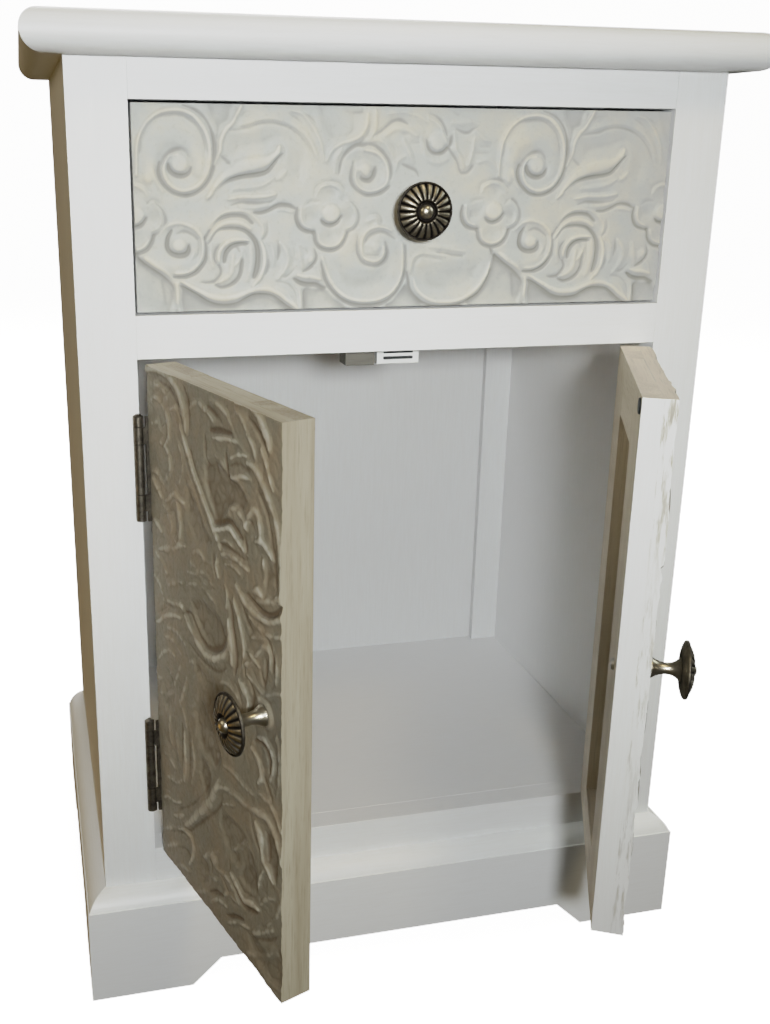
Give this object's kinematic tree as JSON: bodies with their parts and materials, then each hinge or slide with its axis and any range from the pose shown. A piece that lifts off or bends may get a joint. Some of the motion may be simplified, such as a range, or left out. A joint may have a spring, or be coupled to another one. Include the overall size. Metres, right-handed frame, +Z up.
{
  "type": "bedside pot cupboard",
  "caption": "Painted bedside pot cupboard with a carved drawer over a pair of carved doors on butt hinges, rosette knobs and a bracket-foot plinth.",
  "frame": {"origin": "on the floor, at the middle of the back edge, where the cupboard stands against a wall", "axes": "+X to the right as seen from the front, +Y to the back, +Z up; the doors and the drawer face -Y"},
  "size_m": [0.444, 0.463, 0.62],
  "materials": {
    "white_paint": "white satin paint on wood, lightly worn on the edges",
    "cream_washed_carving": "carved relief under a cream-white wash, grey in the recesses",
    "taupe_washed_carving": "carved relief under a taupe wash, lighter on the ridges",
    "limed_door_wood": "limed and washed wood with streaky grain",
    "bare_wood": "bare softwood, planed",
    "antique_brass": "antique brass with dark patina in the flutes",
    "bronzed_steel": "dark bronzed steel",
    "zinc_steel": "zinc-plated steel",
    "white_plastic": "moulded white plastic"
  },
  "bodies": {
    "cabinet": {"top_board": "white_paint", "left_side_panel": "white_paint", "right_side_panel": "white_paint", "back_panel": "white_paint", "left_back_batten": "white_paint", "right_back_batten": "white_paint", "cupboard_floor": "white_paint", "left_stile": "white_paint", "right_stile": "white_paint", "top_rail": "white_paint", "middle_rail": "white_paint", "bottom_rail": "white_paint", "front_plinth": "white_paint", "left_plinth": "white_paint", "right_plinth": "white_paint", "back_plinth": "white_paint", "left_runner": "bare_wood", "right_runner": "bare_wood", "left_kicker": "bare_wood", "right_kicker": "bare_wood", "catch_housing": "white_plastic", "catch_pole_plates": "zinc_steel", "stop_block": "limed_door_wood", "left_upper_frame_leaf": "bronzed_steel", "left_lower_frame_leaf": "bronzed_steel", "right_upper_frame_leaf": "bronzed_steel", "right_lower_frame_leaf": "bronzed_steel", "hinge_pins": "bronzed_steel", "frame_hinge_screws": "bronzed_steel"},
    "drawer": {"drawer_front": "cream_washed_carving", "drawer_left_side": "bare_wood", "drawer_right_side": "bare_wood", "drawer_back": "bare_wood", "drawer_bottom": "bare_wood", "drawer_knob": "antique_brass", "drawer_knob_screw": "zinc_steel"},
    "left_door": {"left_door_panel": "taupe_washed_carving", "left_door_hinge_stile": "limed_door_wood", "left_door_meeting_stile": "limed_door_wood", "left_door_top_rail": "limed_door_wood", "left_door_bottom_rail": "limed_door_wood", "left_door_knob": "antique_brass", "left_door_knob_screw": "zinc_steel", "left_door_strike": "zinc_steel", "left_upper_door_leaf": "bronzed_steel", "left_lower_door_leaf": "bronzed_steel", "left_door_hinge_screws": "bronzed_steel"},
    "right_door": {"right_door_panel": "taupe_washed_carving", "right_door_hinge_stile": "limed_door_wood", "right_door_meeting_stile": "limed_door_wood", "right_door_top_rail": "limed_door_wood", "right_door_bottom_rail": "limed_door_wood", "right_door_knob": "antique_brass", "right_door_knob_screw": "zinc_steel", "right_door_strike": "zinc_steel", "right_upper_door_leaf": "bronzed_steel", "right_lower_door_leaf": "bronzed_steel", "right_door_hinge_screws": "bronzed_steel"}
  },
  "joints": [
    {"name": "drawer_slide", "type": "slide", "parent": "cabinet", "child": "drawer", "axis": [0, -1, 0], "range_m": [0, 0.18]},
    {"name": "left_door_hinge", "type": "hinge", "parent": "cabinet", "child": "left_door", "pos_m": [-0.1675, -0.2986, 0.27], "axis": [0, 0, -1], "range_deg": [-73.6, 91.4]},
    {"name": "right_door_hinge", "type": "hinge", "parent": "cabinet", "child": "right_door", "pos_m": [0.1675, -0.2986, 0.27], "axis": [0, 0, 1], "range_deg": [-65.8, 99.2]}
  ]
}
